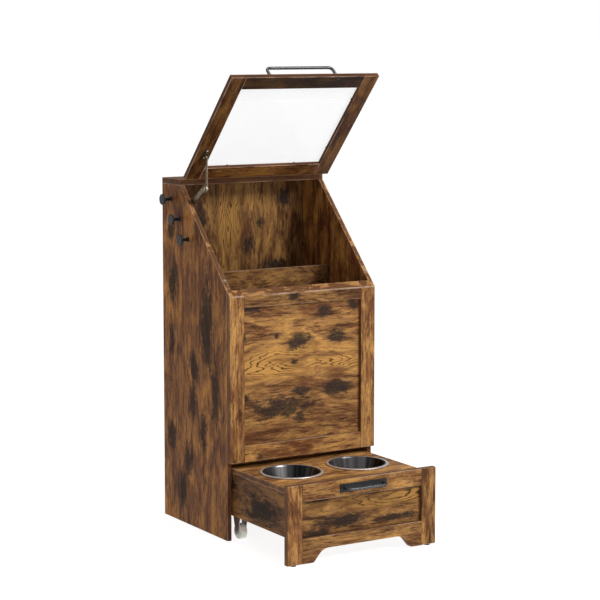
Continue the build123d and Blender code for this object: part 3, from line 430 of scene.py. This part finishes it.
def bowl_steel(node, seed):
    """Spun stainless steel: fine turning lines; the well's dark tone and its upright soft streaks are
    painted reflection.
    """
    look = Look("steel_" + node)
    low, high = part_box(node)
    around = look.vector("SUBTRACT", look.place, (low + high) / 2)
    x, y = look.parts(around)[:2]
    radius = look.math("SQRT", look.math("ADD", look.math("MULTIPLY", x, x), look.math("MULTIPLY", y, y)))
    angle = look.math("ARCTAN2", y, x)
    turned = look.noise(look.vector("MULTIPLY", around, Vector((0, 0, 1))), 1800.0, 2.0, 0.5, seed)
    spokes = look.nodes.new("ShaderNodeCombineXYZ")
    look.feed(spokes.inputs[0], look.math("COSINE", angle))
    look.feed(spokes.inputs[1], look.math("SINE", angle))
    streak = look.noise(spokes.outputs[0], 2.2, 3.0, 0.55, seed + 2.0)
    outer = (high.x - low.x) / 2
    well = look.span(radius, outer * RIM_FULL, outer * RIM_START)
    # Painted reflection: dark well with pale upright streaks.
    painted_well_reflection = look.ramp(streak, ((0.40, WELL_REFLECTION_DARK), (0.54, WELL_REFLECTION_GREY), (0.66, WELL_REFLECTION_PALE)))
    rough = look.math("ADD", look.span(turned, 0.2, 0.8, 0.00, 0.10), look.span(well, 0.0, 1.0, 0.34, 0.24))
    look.set(Base_Color=look.mix(well, STEEL_RIM, painted_well_reflection), Roughness=rough,
             Metallic=look.span(well, 0.0, 1.0, 0.75, 1.0))
    look.bump(turned, 0.06, 0.0002)
    look.wear(node)


def plastic(name, colour, rough, milky, *nodes):
    """Moulded plastic with a fine grit; milky plastic lets some light in."""
    look = Look(name)
    cloud = look.noise(look.place, 70.0, 3.0, 0.6, 6.0)
    grit = look.noise(look.place, 1100.0, 2.0, 0.6, 7.0)
    deep = tuple(0.82 * c for c in colour)
    look.set(Base_Color=look.ramp(cloud, ((0.3, deep), (0.7, colour))),
             Roughness=look.span(cloud, 0.3, 0.7, rough - 0.06, rough + 0.08))
    if milky:
        look.set(Subsurface_Weight=0.35, Subsurface_Scale=0.006)
    look.bump(grit, 0.08, 0.0002)
    look.wear(*nodes)


def clear_sheet(name, *nodes):
    """Clear plastic: barely tinted, with a faint haze of handling marks."""
    look = Look(name)
    haze = look.noise(look.place, 9.0, 4.0, 0.6, 8.0)
    look.set(Base_Color=look.ramp(haze, ((0.3, SHEET_DEEP), (0.7, SHEET_PALE))), IOR=1.49,
             Roughness=look.span(haze, 0.3, 0.7, 0.04, 0.10), Alpha=look.span(haze, 0.3, 0.7, 0.11, 0.14))
    look.bump(haze, 0.01, 0.0002)
    look.wear(*nodes)


black_metal("black_coat", 0.0, "upper_coat_hook", "middle_coat_hook", "lower_coat_hook",
            "drawer_handle_plate", "lid_handle_screws")
black_metal("black_satin", 1.0, "lid_handle", "drawer_handle_bar")
metal("antique_bronze", (0.10, 0.080, 0.050), (0.26, 0.215, 0.145), 0.42,
      "stay_side_bracket", "stay_lower_arm", "stay_drum", "stay_upper_arm", "stay_lid_bracket",
      "left_hinge_fixed_leaf", "right_hinge_fixed_leaf", "left_hinge_moving_leaf",
      "right_hinge_moving_leaf", "hinge_pins")
metal("zinc", (0.45, 0.45, 0.44), (0.66, 0.66, 0.65), 0.30,
      "coat_hook_screws", "cabinet_cam_locks", "drawer_cam_locks", "lid_fitting_screws",
      "cabinet_fitting_screws", "drawer_handle_screws", "caster_axles", "caster_screws")
metal("caster_steel", (0.42, 0.40, 0.42), (0.58, 0.56, 0.58), 0.40,
      "left_caster_bracket", "right_caster_bracket")
bowl_steel("left_bowl", 1.0)
bowl_steel("right_bowl", 5.0)
plastic("wheel_plastic", (0.78, 0.77, 0.70), 0.35, True, "left_caster_wheel", "right_caster_wheel")
plastic("glide_plastic", (0.02, 0.02, 0.02), 0.55, False, "drawer_glides")
clear_sheet("bumper_silicone", "lid_bumpers")
clear_sheet("acrylic", "lid_window")


# ---- Screw recesses, painted as shade ----
RECESS_DEEP = 0.0003        # metres, the height of a recess's cross
RECESS_SLIM = 0.26          # width of one of its bars, as a share of its length
SCREW_END = 0.25            # share of a screw's length looked at to find its head
SMALL_CROSS, LARGE_CROSS = 0.0032, 0.0042


def solids(name):
    """Vertex groups of a node that hang together, one for each solid."""
    mesh = NODES[name].data
    form = bmesh.new()
    form.from_mesh(mesh)
    bmesh.ops.remove_doubles(form, verts=form.verts, dist=1e-5)
    left, groups = set(form.verts), []
    while left:
        open_ends, group = [left.pop()], []
        while open_ends:
            vertex = open_ends.pop()
            group.append(vertex.co.copy())
            for edge in vertex.link_edges:
                other = edge.other_vert(vertex)
                if other in left:
                    left.discard(other)
                    open_ends.append(other)
        groups.append(group)
    form.free()
    return groups


def head_direction(group, axes):
    """The way a screw's head faces: its longest axis, towards the wider end."""
    def spread(axis):
        along = [point.dot(axis) for point in group]
        return max(along) - min(along)

    axis = max(axes, key=spread)
    middle = sum(group, Vector()) / len(group)
    low, high = (f(point.dot(axis) for point in group) for f in (min, max))

    def girth(side):
        ends = [p - middle for p in group if side(p.dot(axis))]
        return max((offset - axis * offset.dot(axis)).length for offset in ends)

    wide = girth(lambda at: at > high - SCREW_END * (high - low))
    slim = girth(lambda at: at < low + SCREW_END * (high - low))
    return axis if wide > slim else -axis


def recess_shades(name, host, axes, body, arm, dark):
    """Dark cross-shaped pieces set on the heads of a group of screws: painted shade standing in for their
    cross recesses.
    """
    form = bmesh.new()
    width = arm * RECESS_SLIM
    for group in solids(host):
        outward = head_direction(group, axes)
        top = max(point.dot(outward) for point in group)
        middle = sum(group, Vector()) / len(group)
        seat = middle + outward * (top - middle.dot(outward))
        frame_axes = outward.to_track_quat("Z", "Y").to_matrix().to_4x4()
        for turn in (0, math.pi / 2):
            made = bmesh.ops.create_cube(form, size=1.0)["verts"]
            shape = Matrix.Translation(seat) @ frame_axes @ Matrix.Rotation(turn, 4, "Z")
            shape = shape @ Matrix.Diagonal((arm, width, RECESS_DEEP, 1.0))
            bmesh.ops.transform(form, matrix=shape, verts=made)
            rims = list({edge for vertex in made for edge in vertex.link_edges})
            bmesh.ops.bevel(form, geom=rims, offset=width * 0.2, segments=1, affect="EDGES",
                            clamp_overlap=True)
    mesh = bpy.data.meshes.new(name)
    form.to_mesh(mesh)
    form.free()
    piece = bpy.data.objects.new(name, mesh)
    bpy.context.scene.collection.objects.link(piece)
    dark.wear(piece)
    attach(piece, body)


# Painted shade: a near-black mottled colour for the crosses, standing in for the shade inside the recesses.
RECESS = Look("recess_shadow")
recess_shade_mottle = RECESS.noise(RECESS.place, 900.0)
RECESS.set(Base_Color=RECESS.ramp(recess_shade_mottle, ((0.3, (0.010,) * 3), (0.7, (0.030,) * 3))), Roughness=0.6)
UP, SIDEWAYS = Vector((0, 0, 1)), Vector((1, 0, 0))
recess_shades("cabinet_screw_recesses", "cabinet_fitting_screws", (UP, SIDEWAYS), "cabinet", SMALL_CROSS, RECESS)
recess_shades("hook_screw_recesses", "coat_hook_screws", (SIDEWAYS,), "cabinet", LARGE_CROSS, RECESS)
recess_shades("lid_screw_recesses", "lid_fitting_screws", (lid_turn,), "lid", SMALL_CROSS, RECESS)
recess_shades("lid_handle_screw_recesses", "lid_handle_screws", (lid_turn,), "lid", LARGE_CROSS, RECESS)
recess_shades("caster_screw_recesses", "caster_screws", (UP,), "drawer", SMALL_CROSS, RECESS)


# ---- Stage, light and camera ----
FLOOR_HALF = 30.0           # metres from the middle of the floor to its edge
FLOOR_GLOW = 0.90
STUDIO_LIGHT = 0.46         # the surroundings' light on the object; the eye sees them white
EYE = (-2.5659, -4.5437, 1.2568)
EYE_DOWN, EYE_TURN = 6.763, -31.379     # degrees below level, and round from looking along Y
EYE_LENS = 117.8


def floor():
    """A pale paper floor that shines a little, so that shadows on it stay faint."""
    mesh = bpy.data.meshes.new("floor")
    form = bmesh.new()
    bmesh.ops.create_grid(form, x_segments=8, y_segments=8, size=FLOOR_HALF)
    form.to_mesh(mesh)
    form.free()
    plane = bpy.data.objects.new("floor", mesh)
    bpy.context.scene.collection.objects.link(plane)
    look = Look("floor_paper")
    grain = look.noise(look.place, 40.0, 2.0, 0.5, 0.0)
    look.set(Base_Color=look.ramp(grain, ((0.3, (0.22, 0.22, 0.22)), (0.7, (0.25, 0.25, 0.25)))),
             Roughness=0.9, Specular_IOR_Level=0.1,
             Emission_Color=(1.0, 1.0, 1.0), Emission_Strength=FLOOR_GLOW)
    look.wear(plane)


def area_light(name, place, aim, size, power):
    """A square soft light that faces a point. Metres and watts."""
    data = bpy.data.lights.new(name, "AREA")
    data.shape, data.size, data.energy = "SQUARE", size, power
    lamp = bpy.data.objects.new(name, data)
    lamp.location = place
    lamp.rotation_euler = (Vector(aim) - Vector(place)).to_track_quat("-Z", "Y").to_euler()
    bpy.context.scene.collection.objects.link(lamp)


def world():
    """Even soft light from all sides."""
    scene = bpy.context.scene
    scene.world = scene.world or bpy.data.worlds.new("studio")
    scene.world.use_nodes = True
    tree = scene.world.node_tree
    back = tree.nodes["Background"]
    back.inputs["Color"].default_value = (1.0, 1.0, 1.0, 1.0)
    seen = tree.nodes.new("ShaderNodeLightPath").outputs["Is Camera Ray"]
    strength = tree.nodes.new("ShaderNodeMapRange")
    tree.links.new(seen, strength.inputs["Value"])
    strength.inputs["To Min"].default_value = STUDIO_LIGHT
    strength.inputs["To Max"].default_value = 1.0
    tree.links.new(strength.outputs[0], back.inputs["Strength"])
    scene.view_settings.view_transform = "Standard"


def camera():
    """Stands in front of the left corner, a little above the lid."""
    data = bpy.data.cameras.new("camera")
    data.sensor_width, data.lens, data.shift_y = 36.0, EYE_LENS, -0.05
    data.clip_start, data.clip_end = 0.1, 200.0
    eye = bpy.data.objects.new("camera", data)
    eye.location = EYE
    eye.rotation_euler = (math.radians(90 - EYE_DOWN), 0.0, math.radians(EYE_TURN))
    bpy.context.scene.collection.objects.link(eye)
    bpy.context.scene.camera = eye


floor()
world()
area_light("key", place=(1.6, -4.0, 3.1), aim=(0.0, -0.3, 0.45), size=1.3, power=165.0)
area_light("top", place=(0.4, -1.0, 4.2), aim=(0.0, -0.3, 0.4), size=2.4, power=70.0)
camera()
